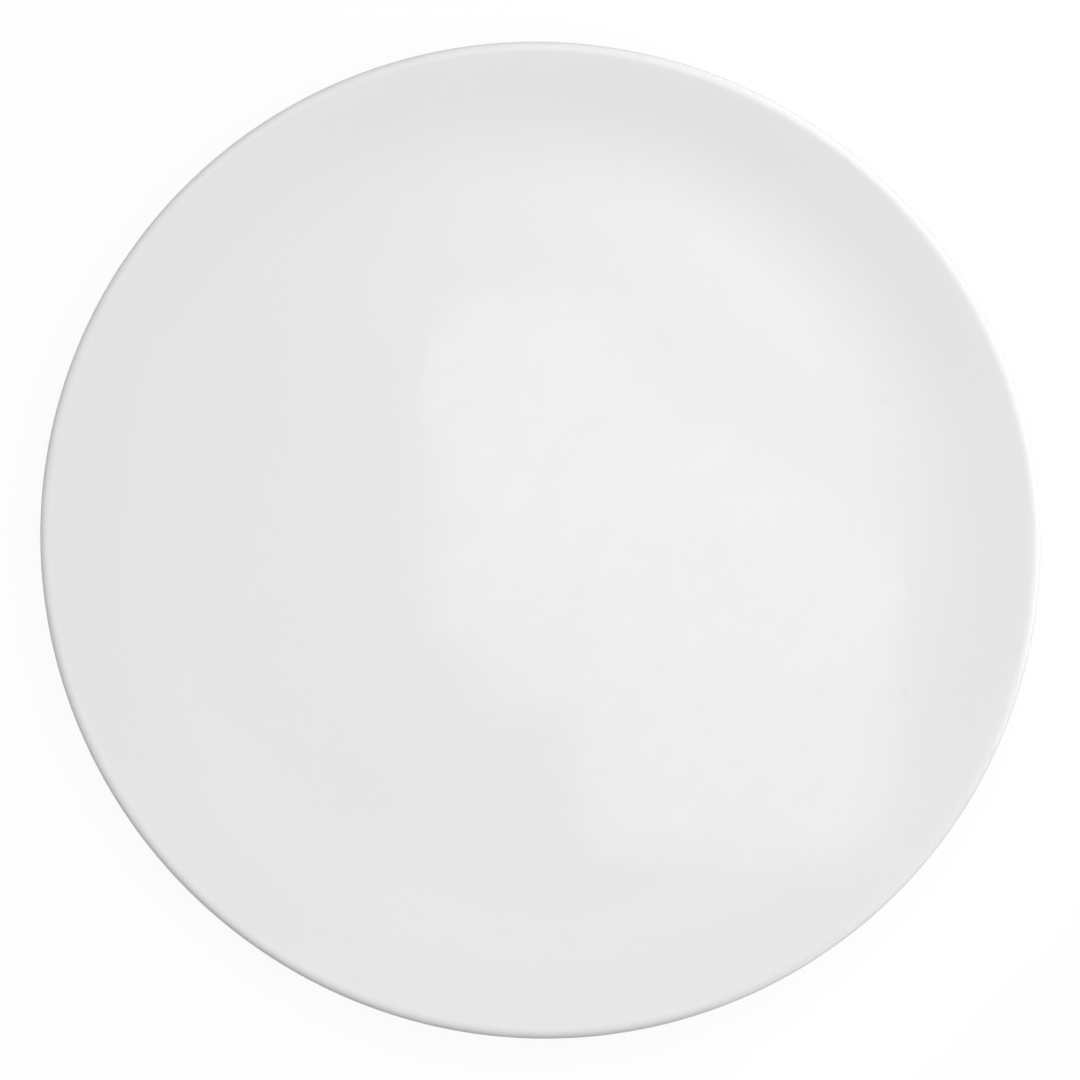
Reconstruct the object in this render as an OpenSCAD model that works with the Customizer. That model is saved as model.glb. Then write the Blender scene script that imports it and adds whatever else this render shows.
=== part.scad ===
// Coupe dinner plate: a round porcelain plate with no separate rim. The face is level in the middle and
// bends up into one plain wall that ends in a full-round lip. The underside has a turned foot ring.
// Everything is round about the Z axis. The origin is on the table under the middle of the plate.

/* [Plate] */
// Diameter over the glazed lip
plate_d = 270; // [256:1:310]
// Height from the table to the top of the glazed lip
plate_h = 22.5; // [18:0.5:28]

/* [Floor and wall] */
// Thickness of the clay floor outside the foot ring
floor_t = 4.8; // [3.8:0.1:6]
// Radius of the bend that takes the face from the floor up into the wall
bend_r = 48; // [32:1:60]
// Slope of the wall above the bend, in degrees from level
wall_slope = 32; // [25:1:40]
// Thickness of the clay in the wall and its full-round lip
wall_t = 3.8; // [2.6:0.1:5]

/* [Foot ring] */
// Distance of the middle of the ring's land in from the start of the underside's bend
foot_inset = 13.5; // [8:0.5:40]
// Width of the level land that stands on the table
land_w = 2; // [1:0.1:3.6]
// Height of the underside outside the ring
foot_h = 3; // [2.4:0.1:4.4]
// Height of the underside inside the ring
foot_well_h = 2.6; // [2.4:0.1:4]
// Lean of the ring's two sides, in degrees from upright
foot_draft = 18; // [5:1:30]
// Radius of the rounded edges of the land
land_edge_r = 0.7; // [0.3:0.1:0.9]
// Radius of the fillets at the root of the ring
root_r = 1.4; // [0.6:0.1:1.6]

/* [Glaze] */
// Thickness of the fired glaze
glaze_t = 0.25; // [0.1:0.05:0.45]
// Height of the dry band that is wiped bare above the table
dry_h = 1; // [0.8:0.1:1.2]

/* [Hidden] */
$fn = 180;
// How far a straight step may leave the true arc
arc_sag = 0.004;

// The lip is a half round between the two faces of the straight wall
lip_r = wall_t / 2;
lip_centre = [plate_d / 2 - glaze_t - lip_r, plate_h - glaze_t - lip_r];
wall_normal = [-sin(wall_slope), cos(wall_slope)];

// Centre of a bend of the given radius that runs level at height level and tangent into the wall's
// straight line through wall_point
function bend_centre(level, wall_point, radius) =
    [wall_point.x - (wall_point.y - level) / tan(wall_slope) - radius * tan(wall_slope / 2),
     level + radius];

// The face's bend, and the underside's bend, wider by the floor so that the clay thins evenly into the wall
floor_z = foot_h + floor_t;
face_bend_centre = bend_centre(floor_z, lip_centre + lip_r * wall_normal, bend_r);
under_bend_r = bend_r + floor_t;
under_bend_centre = bend_centre(foot_h, lip_centre - lip_r * wall_normal, under_bend_r);

// Radius of the middle of the foot's land: the ring keeps its place on the level part of the underside
foot_r = under_bend_centre.x - foot_inset;

// The two sides of the foot ring, each named by the direction that points away from the ring
OUT = 1;
IN = -1;

// Height of the level underside on one side of the ring
function root_z(side) = side == OUT ? foot_h : foot_well_h;

// Direction square to one side of the ring, out of the clay
function side_normal(side) = [side * cos(foot_draft), -sin(foot_draft)];

// Centre of the rounded edge between the land and one side of the ring
function edge_centre(side) = [foot_r + side * land_w / 2, land_edge_r];

// Point on one side of the ring, at height z
function side_point(side, z) =
    let (edge = edge_centre(side) + land_edge_r * side_normal(side))
    [edge.x + side * (z - edge.y) * tan(foot_draft), z];

// Centre of the fillet between one side of the ring and the level underside
function root_centre(side) =
    let (z = root_z(side) - root_r)
    [side_point(side, z).x + side * root_r / cos(foot_draft), z];

// Points along an arc in straight steps that stay within arc_sag of it
function arc(centre, radius, from, to) =
    let (steps = ceil(abs(to - from) / (2 * acos(1 - arc_sag / radius))))
    [for (i = [0:steps])
        let (a = from + (to - from) * i / steps)
        centre + radius * [cos(a), sin(a)]];

function reversed(points) = [for (i = [len(points) - 1:-1:0]) points[i]];

// From the middle of the face over the lip and along the underside to the dry band outside the ring,
// at a distance of skin from the clay
function outside_line(skin) = concat(
    [[0, floor_z + skin]],
    arc(face_bend_centre, bend_r - skin, -90, wall_slope - 90),
    arc(lip_centre, lip_r + skin, wall_slope + 90, wall_slope - 90),
    arc(under_bend_centre, under_bend_r + skin, wall_slope - 90, -90),
    arc(root_centre(OUT), root_r - skin, 90, 180 - foot_draft),
    [side_point(OUT, dry_h) + skin * side_normal(OUT)]
);

// Over the bare foot, from the outer edge of the land to its inner edge
function bare_foot_line() = concat(
    arc(edge_centre(OUT), land_edge_r, -foot_draft, -90),
    arc(edge_centre(IN), land_edge_r, -90, foot_draft - 180)
);

// From the dry band inside the ring to the middle of the underside, at a distance of skin from the clay
function foot_well_line(skin) = concat(
    [side_point(IN, dry_h) + skin * side_normal(IN)],
    arc(root_centre(IN), root_r - skin, foot_draft, 90),
    [[0, foot_well_h - skin]]
);

// The fired clay: floor, wall, lip and foot ring in one
module porcelain_body() {
    color("#E9E7E1")
    rotate_extrude()
    polygon(concat(outside_line(0), bare_foot_line(), foot_well_line(0)));
}

// The glaze over the face, the lip, the underside and the outside of the foot ring
module glaze_coat() {
    color("#F1F1F0")
    rotate_extrude()
    polygon(concat(outside_line(glaze_t), reversed(outside_line(0))));
}

// The glaze inside the foot ring, parted from the rest by the bare foot
module foot_well_glaze() {
    color("#EDEDEC")
    rotate_extrude()
    polygon(concat(foot_well_line(glaze_t), reversed(foot_well_line(0))));
}

porcelain_body();
glaze_coat();
foot_well_glaze();
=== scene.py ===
"""Coupe dinner plate in glazed porcelain: its finished surfaces, the table under it and the studio's light.

The plate is round about the Z axis and stands on the table at height zero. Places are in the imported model's
frame. Sizes are written in millimetres and become metres where a mesh, a lamp or the camera is made.
"""

import logging
import math
from dataclasses import dataclass
from enum import Enum

import bpy
import numpy as np
from mathutils import Matrix, Quaternion, Vector


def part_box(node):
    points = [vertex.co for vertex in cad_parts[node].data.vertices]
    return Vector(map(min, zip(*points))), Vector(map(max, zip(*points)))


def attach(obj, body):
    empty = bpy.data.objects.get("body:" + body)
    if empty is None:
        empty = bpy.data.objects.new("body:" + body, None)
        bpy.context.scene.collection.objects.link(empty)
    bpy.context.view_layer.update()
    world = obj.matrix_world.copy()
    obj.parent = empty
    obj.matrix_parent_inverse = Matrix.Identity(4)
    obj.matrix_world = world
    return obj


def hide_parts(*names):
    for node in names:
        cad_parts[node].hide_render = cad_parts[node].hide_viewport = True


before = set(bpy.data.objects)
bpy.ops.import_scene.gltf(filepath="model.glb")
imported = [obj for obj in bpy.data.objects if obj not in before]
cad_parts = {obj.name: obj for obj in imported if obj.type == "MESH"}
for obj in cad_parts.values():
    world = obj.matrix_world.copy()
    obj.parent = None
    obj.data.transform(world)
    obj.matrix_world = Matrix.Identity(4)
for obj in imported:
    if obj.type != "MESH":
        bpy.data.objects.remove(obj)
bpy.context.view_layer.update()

log = logging.getLogger("plate")

MM = 0.001
ROOT_BODY = "root"
# Fewest straight steps of an arc
FEWEST_STEPS = 4
# Angle between two faces past which the edge between them is drawn sharp, in degrees
SHARP_EDGE = 40.0
# Corners of a face between two rings, and of one at the middle
QUAD, TRIANGLE = 4, 3
# Colour of plain white light
WHITE = (1.0, 1.0, 1.0, 1.0)
# A Mix node's sockets for two colours and their mix, and for two numbers
MIX_COLOUR_A, MIX_COLOUR_B, MIX_COLOUR = 6, 7, 2
MIX_NUMBER_A, MIX_NUMBER_B = 2, 3


class Side(Enum):
    """The two sides of the foot ring, each with the sign of the direction that points away from the ring."""

    OUT = 1
    IN = -1


class Node(Enum):
    """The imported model's nodes."""

    BODY = "porcelain_body"
    COAT = "glaze_coat"
    WELL = "foot_well_glaze"


class Slot(Enum):
    """The record's material slots."""

    BARE = "bare_porcelain"
    GLAZE = "clear_glaze"


def linear_rgba(srgb_hex: str) -> tuple[float, float, float, float]:
    """Turns an sRGB colour into the linear one that a shader takes.

    Each channel under 0.04045 is divided by 12.92, and the rest is ((c + 0.055) / 1.055) to the power 2.4.

    Args:
        srgb_hex: Colour as "#RRGGBB".

    Returns:
        Linear red, green and blue, and an alpha of 1.
    """
    values = np.array([int(srgb_hex[i:i + 2], 16) for i in (1, 3, 5)]) / 255
    linear = np.where(values <= 0.04045, values / 12.92, ((values + 0.055) / 1.055) ** 2.4)
    return (*map(float, linear), 1.0)


def add_node(tree: bpy.types.NodeTree, kind: str, inputs: dict | None = None, **settings) -> bpy.types.Node:
    """Adds a node with its settings and links.

    Args:
        tree: Node tree that gets the node.
        kind: The node's type name.
        inputs: For each input socket, by name or number, a constant or the output socket to link.
        **settings: Properties of the node.

    Returns:
        The new node.
    """
    node = tree.nodes.new(kind)
    for name, value in settings.items():
        setattr(node, name, value)
    for key, value in (inputs or {}).items():
        if isinstance(value, bpy.types.NodeSocket):
            tree.links.new(value, node.inputs[key])
        else:
            node.inputs[key].default_value = value
    return node


def new_material(name: str) -> tuple[bpy.types.Material, bpy.types.NodeTree]:
    """Makes a material with an empty node tree.

    Args:
        name: The material's name.

    Returns:
        The material and its node tree.
    """
    material = bpy.data.materials.new(name)
    material.use_nodes = True
    material.node_tree.nodes.clear()
    return material, material.node_tree


def arc(centre: np.ndarray, radius: float, start: float, end: float, step: float) -> np.ndarray:
    """Points along an arc in the plate's section: centre + radius * (cos a, sin a), a from start to end.

    Args:
        centre: Radius and height of the arc's centre, in mm.
        radius: Radius of the arc, in mm.
        start: First angle in degrees, from level outwards.
        end: Last angle in degrees.
        step: Longest step along the arc, in mm.

    Returns:
        An array of radius and height, in mm.
    """
    length = math.radians(abs(end - start)) * radius
    steps = max(FEWEST_STEPS, math.ceil(length / step))
    angles = np.radians(np.linspace(start, end, steps + 1))
    return np.asarray(centre) + radius * np.column_stack([np.cos(angles), np.sin(angles)])


def straight(start: np.ndarray, end: np.ndarray, step: float) -> np.ndarray:
    """Points along a straight line in the plate's section: start + t * (end - start), t from 0 to 1.

    Args:
        start: Radius and height of the first point, in mm.
        end: Radius and height of the last point, in mm.
        step: Longest step, in mm.

    Returns:
        An array of radius and height, in mm, without the last point.
    """
    start, end = np.asarray(start, float), np.asarray(end, float)
    count = max(1, math.ceil(float(np.linalg.norm(end - start)) / step))
    shares = np.arange(count)[:, None] / count
    return start + shares * (end - start)


def smooth_step(value: np.ndarray, low: float, high: float) -> np.ndarray:
    """Rises from 0 at low to 1 at high as 3 t^2 - 2 t^3, where t is the clamped share of the way."""
    t = np.clip((value - low) / (high - low), 0, 1)
    return t * t * (3 - 2 * t)


@dataclass(frozen=True)
class Section:
    """The plate's section, from the middle of the face over the lip to the middle of the underside, in mm.

    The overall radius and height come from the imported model, and the rest repeats the construction.
    """

    plate_r: float
    plate_h: float
    floor_t: float = 4.8
    bend_r: float = 48.0
    wall_slope: float = 32.0
    wall_t: float = 3.8
    foot_inset: float = 13.5
    land_w: float = 2.0
    foot_h: float = 3.0
    foot_well_h: float = 2.6
    foot_draft: float = 18.0
    land_edge_r: float = 0.7
    root_r: float = 1.4
    glaze_t: float = 0.25
    dry_h: float = 1.0
    # Longest step between two rings of the mesh, on the level stretches, the bends and the small radii
    level_step: float = 4.0
    bend_step: float = 1.1
    round_step: float = 0.22
    # Points round the glaze's rounded end
    end_points: int = 6

    @property
    def floor_z(self) -> float:
        """Height of the clay's level face."""
        return self.foot_h + self.floor_t

    @property
    def lip_r(self) -> float:
        """Radius of the clay's full-round lip."""
        return self.wall_t / 2

    @property
    def lip_centre(self) -> np.ndarray:
        """Centre of the lip's half round."""
        return np.array([self.plate_r, self.plate_h]) - self.glaze_t - self.lip_r

    @property
    def wall_normal(self) -> np.ndarray:
        """Direction square to the wall, up and inwards."""
        slope = math.radians(self.wall_slope)
        return np.array([-math.sin(slope), math.cos(slope)])

    @property
    def face_bend_centre(self) -> np.ndarray:
        """Centre of the face's bend."""
        wall_point = self.lip_centre + self.lip_r * self.wall_normal
        return self.bend_centre(self.floor_z, wall_point, self.bend_r)

    @property
    def under_bend_r(self) -> float:
        """Radius of the underside's bend."""
        return self.bend_r + self.floor_t

    @property
    def under_bend_centre(self) -> np.ndarray:
        """Centre of the underside's bend."""
        wall_point = self.lip_centre - self.lip_r * self.wall_normal
        return self.bend_centre(self.foot_h, wall_point, self.under_bend_r)

    @property
    def foot_r(self) -> float:
        """Radius of the middle of the foot's land."""
        return float(self.under_bend_centre[0]) - self.foot_inset

    def bend_centre(self, level: float, wall_point: np.ndarray, radius: float) -> np.ndarray:
        """Centre of a bend that starts level and ends tangent to the wall's line through a point.

        Args:
            level: Height of the level stretch, in mm.
            wall_point: Radius and height of a point on the wall's straight line, in mm.
            radius: Radius of the bend, in mm.

        Returns:
            Radius and height of the centre, in mm.
        """
        slope = math.radians(self.wall_slope)
        run = (wall_point[1] - level) / math.tan(slope) + radius * math.tan(slope / 2)
        return np.array([wall_point[0] - run, level + radius])

    def side_normal(self, side: Side) -> np.ndarray:
        """Direction square to one side of the foot ring, out of the clay."""
        draft = math.radians(self.foot_draft)
        return np.array([side.value * math.cos(draft), -math.sin(draft)])

    def edge_centre(self, side: Side) -> np.ndarray:
        """Centre of the rounded edge between the land and one side of the ring."""
        return np.array([self.foot_r + side.value * self.land_w / 2, self.land_edge_r])

    def side_point(self, side: Side, height: float) -> np.ndarray:
        """Point on one side of the foot ring at a height."""
        edge = self.edge_centre(side) + self.land_edge_r * self.side_normal(side)
        lean = math.tan(math.radians(self.foot_draft))
        return np.array([edge[0] + side.value * (height - edge[1]) * lean, height])

    def root_centre(self, side: Side) -> np.ndarray:
        """Centre of the fillet between one side of the ring and the level underside."""
        root_z = self.foot_h if side is Side.OUT else self.foot_well_h
        height = root_z - self.root_r
        reach = self.root_r / math.cos(math.radians(self.foot_draft))
        return self.side_point(side, height) + np.array([side.value * reach, 0.0])

    def face_point(self, x: float, y: float) -> tuple[float, float, float]:
        """The point of the glazed face over a place, before the firing's warp.

        Args:
            x: Place across the plate, in mm.
            y: Place along the plate, in mm.

        Returns:
            The point, in mm.
        """
        line = self.outside_line(self.glaze_t)
        face = line[:np.argmax(line[:, 1])]
        return x, y, float(np.interp(math.hypot(x, y), face[:, 0], face[:, 1]))

    def outside_line(self, skin: float) -> np.ndarray:
        """The line from the middle of the face over the lip to the dry band outside the foot ring.

        It is a level stretch, the face's bend, the straight wall, the half-round lip, the straight wall
        again, the underside's wider bend, a level stretch, the root's fillet and the ring's side, each
        tangent to the next and moved out of the clay by skin.

        Args:
            skin: Distance from the clay, in mm.

        Returns:
            An array of radius and height, in mm.
        """
        slope = self.wall_slope
        face = arc(self.face_bend_centre, self.bend_r - skin, -90, slope - 90, self.bend_step)
        lip = arc(self.lip_centre, self.lip_r + skin, slope + 90, slope - 90, self.round_step)
        under = arc(self.under_bend_centre, self.under_bend_r + skin, slope - 90, -90, self.bend_step)
        draft = self.foot_draft
        root = arc(self.root_centre(Side.OUT), self.root_r - skin, 90, 180 - draft, self.round_step)
        middle = np.array([0.0, self.floor_z + skin])
        return np.concatenate([
            straight(middle, face[0], self.level_step),
            face[:-1],
            straight(face[-1], lip[0], self.bend_step),
            lip[:-1],
            straight(lip[-1], under[0], self.bend_step),
            under[:-1],
            straight(under[-1], root[0], self.level_step),
            root,
            self.glaze_end(Side.OUT, skin),
        ])

    def foot_well_line(self, skin: float) -> np.ndarray:
        """The line from the dry band inside the foot ring to the middle of the underside.

        Args:
            skin: Distance from the clay, in mm.

        Returns:
            An array of radius and height, in mm.
        """
        root = arc(self.root_centre(Side.IN), self.root_r - skin, self.foot_draft, 90, self.round_step)
        middle = np.array([0.0, self.foot_well_h - skin])
        return np.concatenate([
            self.glaze_end(Side.IN, skin)[::-1],
            root[:-1],
            straight(root[-1], middle, self.level_step),
            middle[None],
        ])

    def glaze_end(self, side: Side, skin: float) -> np.ndarray:
        """The last points of a line at the dry band, where a melted glaze draws back into a rounded edge.

        They run a quarter round: skin * (1 - sin a) up the ring's side and skin * cos a out from the clay.

        Args:
            side: Side of the foot ring.
            skin: Distance from the clay, in mm.

        Returns:
            An array of radius and height, in mm, that ends on the clay. Without a skin it is one point.
        """
        foot = self.side_point(side, self.dry_h)
        if not skin:
            return foot[None]
        along = self.side_point(side, self.dry_h + skin) - foot
        along /= np.linalg.norm(along)
        angles = np.radians(np.linspace(0, 90, self.end_points))[:, None]
        return foot + skin * ((1 - np.sin(angles)) * along + np.cos(angles) * self.side_normal(side))

    def bare_foot_line(self) -> np.ndarray:
        """The line over the bare foot, from its outer side over the two rounded edges to its inner side."""
        draft = self.foot_draft
        outer = arc(self.edge_centre(Side.OUT), self.land_edge_r, -draft, -90, self.round_step)
        inner = arc(self.edge_centre(Side.IN), self.land_edge_r, -90, draft - 180, self.round_step)
        return np.concatenate([outer, inner])


@dataclass(frozen=True)
class KilnWarp:
    """The slight unevenness that throwing and firing leave in a plate's level face.

    Each wave has a height in mm, a length in mm across the plate, the direction in degrees that it runs in
    and a phase in degrees. The waves are what bends the borders of a lamp's mirror image in the glaze.
    """

    waves: tuple[tuple[float, float, float, float], ...]
    # Radii between which the waves die out towards the lip, in mm
    full_r: float = 96.0
    still_r: float = 120.0

    def height(self, x: np.ndarray, y: np.ndarray) -> np.ndarray:
        """Height of the warp: the sum of h * sin(2 pi * distance / length + phase), faded out by radius.

        Args:
            x: Places across the plate, in mm.
            y: Places along the plate, in mm.

        Returns:
            Heights above the true face, in mm.
        """
        total = np.zeros_like(x)
        for height, length, heading, phase in self.waves:
            turn = math.radians(heading)
            distance = x * math.cos(turn) + y * math.sin(turn)
            total += height * np.sin(2 * np.pi * distance / length + math.radians(phase))
        return total * (1 - smooth_step(np.hypot(x, y), self.full_r, self.still_r))


def turned_faces(rings: int, segments: int) -> tuple[np.ndarray, np.ndarray]:
    """Corners of the faces of a turned surface.

    Point j of ring i has the number i * segments + j, and the two middle points come after all the rings.
    Four neighbours on two rings are joined, and two fans of triangles close the first and the last ring.

    Args:
        rings: Number of rings.
        segments: Points of each ring.

    Returns:
        The corners of the faces between the rings, and those of the faces at the middle.
    """
    here = np.arange(segments)
    after = (here + 1) % segments
    first = np.arange(rings - 1)[:, None] * segments
    second = first + segments
    quads = np.stack([first + here, second + here, second + after, first + after], axis=-1)
    last, start = (rings - 1) * segments, rings * segments
    top_fan = np.column_stack([np.full(segments, start), here, after])
    bottom_fan = np.column_stack([last + here, np.full(segments, start + 1), last + after])
    return quads.reshape(-1, QUAD), np.concatenate([top_fan, bottom_fan])


def revolve(name: str, line: np.ndarray, lift: np.ndarray, warp: KilnWarp,
            segments: int) -> bpy.types.Object:
    """Turns a line that starts and ends on the axis into a closed smooth mesh.

    Ring i has its points at (r_i cos a, r_i sin a, z_i + lift_i * warp), with a in even steps over the full
    turn. The line's two ends are single points. A line that runs clockwise in the section, with the radius
    to the right, gives faces that point outwards.

    Args:
        name: Name of the mesh and its object.
        line: Radius and height of the line's points, in mm.
        lift: Share of the warp that each point takes.
        warp: The face's unevenness.
        segments: Steps round the axis.

    Returns:
        The object, linked to the scene, at the origin.
    """
    radius, height = line[1:-1, :1], line[1:-1, 1:]
    angles = np.linspace(0, 2 * np.pi, segments, endpoint=False)[None]
    x, y = radius * np.cos(angles), radius * np.sin(angles)
    z = height + lift[1:-1, None] * warp.height(x, y)
    middle = np.zeros(1)
    centre_z = line[[0, -1], 1] + lift[[0, -1]] * warp.height(middle, middle)
    rings = np.stack([x, y, z], axis=-1).reshape(-1, 3)
    poles = np.column_stack([np.zeros((2, 2)), centre_z])
    points = np.concatenate([rings, poles]) * MM

    quads, triangles = turned_faces(len(radius), segments)
    corners = np.concatenate([quads.ravel(), triangles.ravel()])
    sizes = np.concatenate([np.full(len(quads), QUAD), np.full(len(triangles), TRIANGLE)])
    starts = np.concatenate([[0], np.cumsum(sizes)[:-1]])
    mesh = bpy.data.meshes.new(name)
    mesh.vertices.add(len(points))
    mesh.vertices.foreach_set("co", points.ravel())
    mesh.loops.add(len(corners))
    mesh.loops.foreach_set("vertex_index", corners.astype(np.int32))
    mesh.polygons.add(len(sizes))
    mesh.polygons.foreach_set("loop_start", starts.astype(np.int32))
    mesh.update(calc_edges=True)
    mesh.validate()
    mesh.shade_smooth()
    mesh.set_sharp_from_angle(angle=math.radians(SHARP_EDGE))
    piece = bpy.data.objects.new(name, mesh)
    bpy.context.scene.collection.objects.link(piece)
    return piece


@dataclass(frozen=True)
class GlazedPorcelain:
    """Hard-paste porcelain under a clear feldspar glaze, dipped and fired to a full gloss.

    To the eye it is an even neutral white with a sharp mirror image over it. The melt leaves a faint orange
    peel, which makes that image's borders tremble, and a few iron specks that fade out into the white.
    """

    name: str = "glazed_porcelain"
    white: str = "#EDEDED"
    cloud: str = "#EBEBEB"
    speck_colour: str = "#E8E8E8"
    roughness: float = 0.09
    glaze_ior: float = 1.5
    # Width of the faint clouds in the white, in mm, and how many finer layers break up their borders
    cloud_size: float = 45.0
    cloud_detail: float = 2.0
    # Width of the orange peel's cells and depth of its relief, in mm, and its finer layers
    peel_size: float = 6.0
    peel_depth: float = 0.004
    peel_detail: float = 1.5
    # Places of the specks on the face and their radius, in mm
    specks: tuple[tuple[float, float, float], ...] = ()
    speck_r: float = 1.2
    # Spacing and depth of the rings that the turning tool leaves, in mm, where there are any
    ring_pitch: float = 1.6
    ring_depth: float = 0.0

    def make(self) -> bpy.types.Material:
        """Makes the material.

        Returns:
            The finished material.
        """
        material, tree = new_material(self.name)
        place = add_node(tree, "ShaderNodeTexCoord").outputs["Object"]
        clouds = add_node(tree, "ShaderNodeTexNoise", {
            "Vector": place, "Scale": 1 / (self.cloud_size * MM), "Detail": self.cloud_detail,
        }).outputs["Fac"]
        tint = add_node(tree, "ShaderNodeMix", {
            "Factor": clouds, MIX_COLOUR_A: linear_rgba(self.white), MIX_COLOUR_B: linear_rgba(self.cloud),
        }, data_type="RGBA").outputs[MIX_COLOUR]
        for speck in self.specks:
            tint = self.with_speck(tree, place, tint, speck)
        relief = add_node(tree, "ShaderNodeTexNoise", {
            "Vector": place, "Scale": 1 / (self.peel_size * MM), "Detail": self.peel_detail,
        }).outputs["Fac"]
        bump = add_node(tree, "ShaderNodeBump",
                        {"Height": relief, "Strength": 1.0, "Distance": self.peel_depth * MM})
        if self.ring_depth:
            bump = self.with_rings(tree, place, bump)
        shader = add_node(tree, "ShaderNodeBsdfPrincipled", {
            "Base Color": tint, "Normal": bump.outputs["Normal"], "Metallic": 0.0,
            "Roughness": self.roughness, "IOR": self.glaze_ior,
        })
        add_node(tree, "ShaderNodeOutputMaterial", {"Surface": shader.outputs["BSDF"]})
        return material

    def with_speck(self, tree: bpy.types.NodeTree, place: bpy.types.NodeSocket, tint: bpy.types.NodeSocket,
                   speck: tuple[float, float, float]) -> bpy.types.NodeSocket:
        """Adds one iron speck, which lies under the glaze and so fades out from its middle to its radius.

        Args:
            tree: The material's node tree.
            place: Object coordinates.
            tint: Colour of the glaze without the speck.
            speck: Place of the speck, in mm.

        Returns:
            The colour with the speck.
        """
        middle = tuple(part * MM for part in speck)
        away = add_node(tree, "ShaderNodeVectorMath",
                        {0: place, 1: middle}, operation="DISTANCE").outputs["Value"]
        share = add_node(tree, "ShaderNodeMapRange", {
            "Value": away, "From Min": self.speck_r * MM, "From Max": 0.0, "To Min": 0.0, "To Max": 1.0,
        }).outputs["Result"]
        return add_node(tree, "ShaderNodeMix", {
            "Factor": share, MIX_COLOUR_A: tint, MIX_COLOUR_B: linear_rgba(self.speck_colour),
        }, data_type="RGBA").outputs[MIX_COLOUR]

    def with_rings(self, tree: bpy.types.NodeTree, place: bpy.types.NodeSocket,
                   bump: bpy.types.Node) -> bpy.types.Node:
        """Adds the turning rings' relief: the sine of 2 pi * radius / pitch, over another relief.

        Args:
            tree: The material's node tree.
            place: Object coordinates.
            bump: Bump node that holds the relief under the rings.

        Returns:
            The bump node on top.
        """
        flat = add_node(tree, "ShaderNodeVectorMath",
                        {0: place, 1: (1.0, 1.0, 0.0)}, operation="MULTIPLY").outputs[0]
        radius = add_node(tree, "ShaderNodeVectorMath", {0: flat}, operation="LENGTH").outputs["Value"]
        turn_rate = 2 * math.pi / (self.ring_pitch * MM)
        turns = add_node(tree, "ShaderNodeMath", {0: radius, 1: turn_rate}, operation="MULTIPLY").outputs[0]
        rings = add_node(tree, "ShaderNodeMath", {0: turns}, operation="SINE").outputs[0]
        return add_node(tree, "ShaderNodeBump", {
            "Height": rings, "Normal": bump.outputs["Normal"],
            "Strength": 1.0, "Distance": self.ring_depth * MM,
        })


@dataclass(frozen=True)
class BarePorcelain:
    """Unglazed porcelain of the foot, fired on its land and rubbed smooth with a stone.

    To the eye it is dry, matt and a little warmer than the glazed white, with the grain of fine sandpaper.
    """

    name: str = "bare_porcelain"
    clay: str = "#E6E3DC"
    rubbed: str = "#D9D6CF"
    roughness: float = 0.62
    body_ior: float = 1.45
    # Width of the grain, which is drawn coarser than the real one so that it shows, width of the rubbed
    # patches, and depth of the grain, in mm
    grain_size: float = 0.25
    patch_size: float = 9.0
    grain_depth: float = 0.02
    # Share of the grain's depth that is left after the rubbing, and finer layers of grain and patches
    grain_share: float = 0.6
    detail: float = 3.0

    def make(self) -> bpy.types.Material:
        """Makes the material.

        Returns:
            The finished material.
        """
        material, tree = new_material(self.name)
        place = add_node(tree, "ShaderNodeTexCoord").outputs["Object"]
        patches, grain = (add_node(tree, "ShaderNodeTexNoise", {
            "Vector": place, "Scale": 1 / (size * MM), "Detail": self.detail,
        }).outputs["Fac"] for size in (self.patch_size, self.grain_size))
        tint = add_node(tree, "ShaderNodeMix", {
            "Factor": patches, MIX_COLOUR_A: linear_rgba(self.clay), MIX_COLOUR_B: linear_rgba(self.rubbed),
        }, data_type="RGBA").outputs[MIX_COLOUR]
        bump = add_node(tree, "ShaderNodeBump",
                        {"Height": grain, "Strength": self.grain_share, "Distance": self.grain_depth * MM})
        shader = add_node(tree, "ShaderNodeBsdfPrincipled", {
            "Base Color": tint, "Normal": bump.outputs["Normal"], "Metallic": 0.0,
            "Roughness": self.roughness, "IOR": self.body_ior,
        })
        add_node(tree, "ShaderNodeOutputMaterial", {"Surface": shader.outputs["BSDF"]})
        return material


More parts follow.
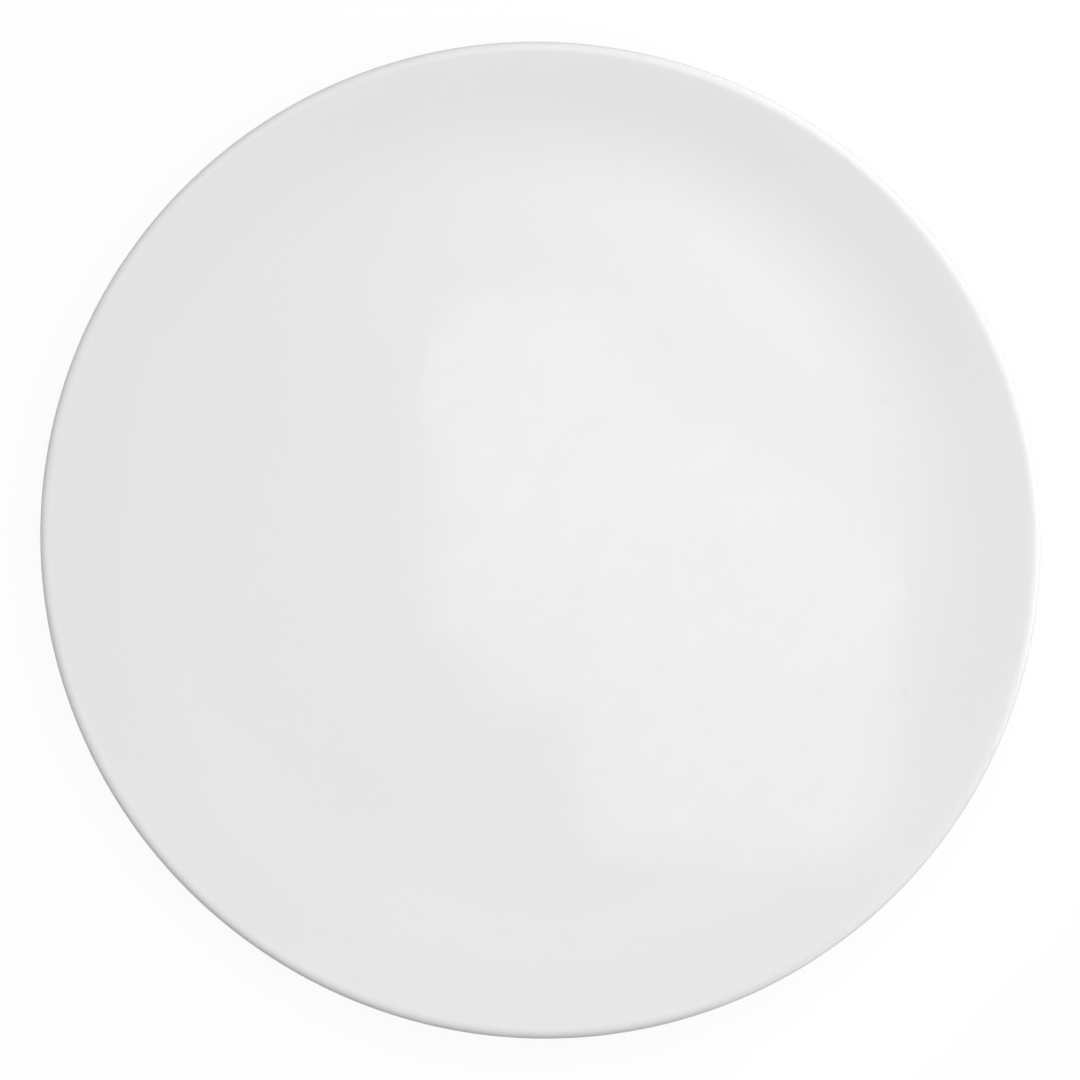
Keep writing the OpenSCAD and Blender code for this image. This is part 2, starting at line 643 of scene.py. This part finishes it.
@dataclass(frozen=True)
class Plate:
    """The plate: the clay body and the two parts of its glaze, each a surface turned about the axis."""

    section: Section
    warp: KilnWarp
    face_finish: GlazedPorcelain
    well_finish: GlazedPorcelain
    bare_finish: BarePorcelain
    # Steps of each mesh round the axis
    segments: int = 320

    def build(self) -> list[bpy.types.Object]:
        """Builds the three pieces and reports each.

        Returns:
            The pieces.
        """
        return [self.body(), self.coat(), self.well()]

    def body(self) -> bpy.types.Object:
        """Builds the fired clay: floor, wall, lip and foot ring in one.

        Returns:
            The body.
        """
        outside = self.section.outside_line(0.0)
        line = np.concatenate([outside, self.section.bare_foot_line(), self.section.foot_well_line(0.0)])
        piece = revolve("fired_body", line, self.face_share(line), self.warp, self.segments)
        return self.fit(piece, Node.BODY, Slot.BARE, self.bare_finish.make())

    def coat(self) -> bpy.types.Object:
        """Builds the glaze over the face, the lip, the underside and the outside of the foot ring.

        Returns:
            The glaze.
        """
        glaze = self.section.outside_line(self.section.glaze_t)
        clay = self.section.outside_line(0.0)
        line = np.concatenate([glaze, clay[-2::-1]])
        share = np.concatenate([self.face_share(glaze), self.face_share(clay)[-2::-1]])
        piece = revolve("face_glaze", line, share, self.warp, self.segments)
        return self.fit(piece, Node.COAT, Slot.GLAZE, self.face_finish.make())

    def well(self) -> bpy.types.Object:
        """Builds the glaze inside the foot ring.

        Returns:
            The glaze.
        """
        glaze = self.section.foot_well_line(self.section.glaze_t)
        clay = self.section.foot_well_line(0.0)
        line = np.concatenate([clay[::-1], glaze[1:]])
        piece = revolve("well_glaze", line, np.zeros(len(line)), self.warp, self.segments)
        return self.fit(piece, Node.WELL, Slot.GLAZE, self.well_finish.make())

    @staticmethod
    def face_share(line: np.ndarray) -> np.ndarray:
        """Share of the warp that each point of a line takes: all of it on the face and none underneath.

        The face is what comes before the line's widest point, which is on the lip.

        Args:
            line: Radius and height of the line's points, from the middle of the face on, in mm.

        Returns:
            One share for each point.
        """
        return (np.arange(len(line)) < np.argmax(line[:, 0])).astype(float)

    @staticmethod
    def fit(piece: bpy.types.Object, node: Node, slot: Slot,
            finish: bpy.types.Material) -> bpy.types.Object:
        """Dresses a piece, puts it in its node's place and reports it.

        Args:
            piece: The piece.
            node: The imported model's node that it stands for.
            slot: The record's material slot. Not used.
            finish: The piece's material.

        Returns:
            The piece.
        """
        piece.data.materials.append(finish)
        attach(piece, ROOT_BODY)
        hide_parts(node.value)
        log.info("%s: %d faces, in place of %s", piece.name, len(piece.data.polygons), node.value)
        return piece


@dataclass(frozen=True)
class Camera:
    """The camera, close to straight above the plate and tilted a little about its middle."""

    # Height of the lip's widest ring, and width of the frame at that height, in mm
    lip_z: float
    frame_w: float = 290.4
    # Focal length and sensor width, in mm
    lens: float = 100.0
    sensor: float = 36.0
    # Tilt from straight down, and the direction on the table that the camera leans to, in degrees from +X
    tilt: float = 8.23
    lean_heading: float = 234.4
    # Where the middle of the frame meets the height of the lip, in mm
    aim: tuple[float, float] = (-1.97, -2.54)
    # Nearest and farthest distance that it sees, in metres
    near: float = 0.01
    far: float = 20.0

    def build(self) -> bpy.types.Object:
        """Makes the camera and takes it into use.

        It looks straight down, turned by the shortest way to its tilt, so that +Y stays up in the frame.

        Returns:
            The camera.
        """
        tilt, heading = math.radians(self.tilt), math.radians(self.lean_heading)
        lean = math.sin(tilt)
        back = Vector((lean * math.cos(heading), lean * math.sin(heading), math.cos(tilt)))
        data = bpy.data.cameras.new("camera")
        data.lens, data.sensor_width = self.lens, self.sensor
        data.clip_start, data.clip_end = self.near, self.far
        camera = bpy.data.objects.new("camera", data)
        bpy.context.scene.collection.objects.link(camera)
        distance = self.frame_w * self.lens / self.sensor
        camera.location = (Vector((*self.aim, self.lip_z)) + back * distance) * MM
        camera.rotation_mode = "QUATERNION"
        camera.rotation_quaternion = Vector((0, 0, 1)).rotation_difference(back)
        bpy.context.scene.camera = camera
        return camera


@dataclass(frozen=True)
class Lamp:
    """A softbox, or a glowing card, that lights the plate and isn't seen by the camera itself.

    Its size and place are in mm. Its glow is how bright its face is, where 1 is the white of the frame.
    """

    name: str
    width: float
    depth: float
    place: tuple[float, float, float]
    aim: tuple[float, float, float]
    glow: float
    # Full angle that its honeycomb lets the light out in, in degrees
    spread: float = 180.0
    # Whether the glaze mirrors the lamp's own face, and not only the white around it
    mirrored: bool = True
    # Share of straight down past which the lamp's width lies along X
    steep: float = 0.8

    def build(self) -> bpy.types.Object:
        """Makes the lamp.

        Its power is glow * pi * area, which an even diffuse face of that glow gives off.

        Returns:
            The lamp.
        """
        data = bpy.data.lights.new(self.name, "AREA")
        data.shape = "RECTANGLE"
        data.size, data.size_y = self.width * MM, self.depth * MM
        data.energy = self.glow * math.pi * data.size * data.size_y
        data.spread = math.radians(self.spread)
        lamp = bpy.data.objects.new(self.name, data)
        bpy.context.scene.collection.objects.link(lamp)
        lamp.location = Vector(self.place) * MM
        lamp.rotation_mode = "QUATERNION"
        lamp.rotation_quaternion = self.facing()
        lamp.visible_camera = False
        lamp.visible_glossy = self.mirrored
        return lamp

    def facing(self) -> Quaternion:
        """Turns the lamp's back away from its aim, with its width level, or along X where it looks down.

        Returns:
            The lamp's turn.
        """
        back = (Vector(self.place) - Vector(self.aim)).normalized()
        above = Vector((0, 1, 0)) if back.z > self.steep else Vector((0, 0, 1))
        across = above.cross(back).normalized()
        return Matrix((across, back.cross(across), back)).transposed().to_quaternion()


@dataclass(frozen=True)
class Daylight:
    """Light that falls straight down through gaps overhead, as patches with soft borders on the face."""

    # Least X, most X, least Y and most Y of each patch, in mm
    patches: tuple[tuple[float, float, float, float], ...]
    # How much brighter the patches are, where 1 is the white of the frame
    glow: float = 0.062
    # Height of the gaps over the table, in mm, and full angle of the light through them, in degrees
    height: float = 400.0
    spread: float = 2.0

    def lamps(self) -> tuple[Lamp, ...]:
        """Makes one lamp for each patch, as large as the patch and straight above it.

        They stay out of mirror images, where they would put a white shape on the face for an eye above it.

        Returns:
            The lamps.
        """
        lamps = []
        for number, (low_x, high_x, low_y, high_y) in enumerate(self.patches):
            x, y = (low_x + high_x) / 2, (low_y + high_y) / 2
            lamps.append(Lamp(f"daylight_{number}", high_x - low_x, high_y - low_y, (x, y, self.height),
                              (x, y, 0.0), self.glow, self.spread, mirrored=False))
        return tuple(lamps)


@dataclass(frozen=True)
class Studio:
    """The table, the white surroundings and the lamps."""

    lamps: tuple[Lamp, ...]
    # Light that the surroundings give the plate, where 1 is the white of the frame
    ambient: float = 0.04
    # Brightness of the surroundings and the table to the rays that see them
    seen_white: float = 1.0
    # Colour of the table to all other rays: a mid grey, so that little light comes back up under the lip
    table_colour: str = "#808080"
    # Share of the table's white that comes from the lamps and so can take the plate's shadow
    shadow_share: float = 0.07
    table_size: float = 8000.0
    # Distance of the table's top under the foot, in mm, so that the two faces don't lie in one plane
    table_gap: float = 0.02

    def build(self) -> None:
        """Builds the table, the surroundings and the lamps."""
        self.table()
        self.surroundings()
        for lamp in self.lamps:
            lamp.build()

    def table(self) -> bpy.types.Object:
        """Makes the table. Rays that see it find an even white with the plate's faint shadow on it.

        Returns:
            The table.
        """
        half = self.table_size / 2 * MM
        corners = [(-half, -half), (half, -half), (half, half), (-half, half)]
        mesh = bpy.data.meshes.new("table")
        mesh.from_pydata([(x, y, -self.table_gap * MM) for x, y in corners], [], [(0, 1, 2, 3)])
        table = bpy.data.objects.new("table", mesh)
        bpy.context.scene.collection.objects.link(table)
        material, tree = new_material("table_white")
        seen = add_node(tree, "ShaderNodeEmission",
                        {"Color": WHITE, "Strength": self.seen_white - self.shadow_share}).outputs[0]
        shaded = add_node(tree, "ShaderNodeBsdfDiffuse",
                          {"Color": (self.shadow_share,) * 3 + (1,)}).outputs[0]
        white = add_node(tree, "ShaderNodeAddShader", {0: seen, 1: shaded}).outputs[0]
        grey = add_node(tree, "ShaderNodeBsdfDiffuse", {"Color": linear_rgba(self.table_colour)}).outputs[0]
        surface = add_node(tree, "ShaderNodeMixShader",
                           {0: self.seen_ray(tree), 1: grey, 2: white}).outputs[0]
        add_node(tree, "ShaderNodeOutputMaterial", {"Surface": surface})
        mesh.materials.append(material)
        return table

    def surroundings(self) -> None:
        """Sets the world: white to rays that see it, and a dimmer even light to the rest."""
        world = bpy.data.worlds.new("surroundings")
        bpy.context.scene.world = world
        world.use_nodes = True
        tree = world.node_tree
        tree.nodes.clear()
        strength = add_node(tree, "ShaderNodeMix", {
            "Factor": self.seen_ray(tree), MIX_NUMBER_A: self.ambient, MIX_NUMBER_B: self.seen_white,
        }, data_type="FLOAT").outputs[0]
        glow = add_node(tree, "ShaderNodeBackground", {"Color": WHITE, "Strength": strength}).outputs[0]
        add_node(tree, "ShaderNodeOutputWorld", {"Surface": glow})

    @staticmethod
    def seen_ray(tree: bpy.types.NodeTree) -> bpy.types.NodeSocket:
        """Adds the test for rays that show the surroundings: camera, glossy and transmission rays.

        Args:
            tree: The node tree.

        Returns:
            A socket that is 1 for such rays and 0 for the rest.
        """
        path = add_node(tree, "ShaderNodeLightPath").outputs
        seen = add_node(tree, "ShaderNodeMath",
                        {0: path["Is Camera Ray"], 1: path["Is Glossy Ray"]}, operation="MAXIMUM").outputs[0]
        return add_node(tree, "ShaderNodeMath",
                        {0: seen, 1: path["Is Transmission Ray"]}, operation="MAXIMUM").outputs[0]


# Waves of the fired face: height, length, heading and phase
FIRED_WARP = KilnWarp(waves=(
    (0.10, 150.0, 20.0, 30.0),
    (0.05, 84.0, 100.0, 70.0),
    (0.03, 61.0, 330.0, 200.0),
))

# Places of the iron specks on the face, across and along the plate, in mm
FACE_SPECKS = ((95.3, 38.2), (99.0, -42.8), (113.3, -65.4))

# Patches of light on the right of the face: the least and most X and Y of each, in mm. The white card
# lights the upper right of the face by itself.
DAYLIGHT = Daylight(patches=(
    (-31, -17, -28, 62), (-17, 8, -45, 69), (8, 26, -88, 66), (26, 40, -88, 46),
    (40, 56, -88, 36), (56, 70, -88, 27), (70, 84, -86, 16), (84, 98, -80, 6),
))
# A second patch over the corner of the first ones, where the bend would lose light again
CORNER_LIGHT = Daylight(patches=((48, 98, -90, -63),), glow=0.045)

# The two overhead softboxes give nearly all the light. The near one fades towards the lip and comes down
# on it from the inside, so that the lip's outer half is darker than the wall. The low softbox lights the
# lower right wall. The white card lights the upper right of the face, and the three strips, all close to
# the plate, put the bright edge on the right half of the lip. The large lamps stay out of mirror images,
# where their borders would draw a ring round the bend, a line along the lip or, from the side, a white
# shape across the face.
LAMPS = (
    Lamp("wide_overhead", 3540, 3540, (0, 0, 1600), (0, 0, 0), 0.63, mirrored=False),
    Lamp("near_overhead", 400, 400, (0, -10, 450), (0, -10, 0), 2.25, mirrored=False),
    Lamp("low_left", 1000, 500, (-1300, 1300, 500), (0, 0, 0), 1.9, mirrored=False),
    Lamp("white_card", 320, 60, (130, 181, 90), (60, 84, 10), 1.4, mirrored=False),
    Lamp("upper_strip", 190, 24, (124, 124, 30), (92, 92, 20), 0.92),
    Lamp("side_strip", 150, 24, (175, 0, 30), (130, 0, 20), 2.07),
    Lamp("lower_strip", 150, 24, (124, -124, 30), (92, -92, 20), 1.2),
)


def main() -> None:
    """Builds the camera, the plate and the studio."""
    logging.basicConfig(level=logging.INFO, format="%(name)s: %(message)s")
    bpy.context.scene.view_settings.view_transform = "Standard"
    coat_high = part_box(Node.COAT.value)[1] / MM
    section = Section(plate_r=coat_high.x, plate_h=coat_high.z)
    Camera(lip_z=float(section.lip_centre[1])).build()
    face_finish = GlazedPorcelain(specks=tuple(section.face_point(x, y) for x, y in FACE_SPECKS))
    well_finish = GlazedPorcelain(name="glazed_porcelain_turned", ring_depth=0.004)
    Plate(section, FIRED_WARP, face_finish, well_finish, BarePorcelain()).build()
    Studio(LAMPS + DAYLIGHT.lamps() + CORNER_LIGHT.lamps()).build()


if __name__ == "__main__":
    main()
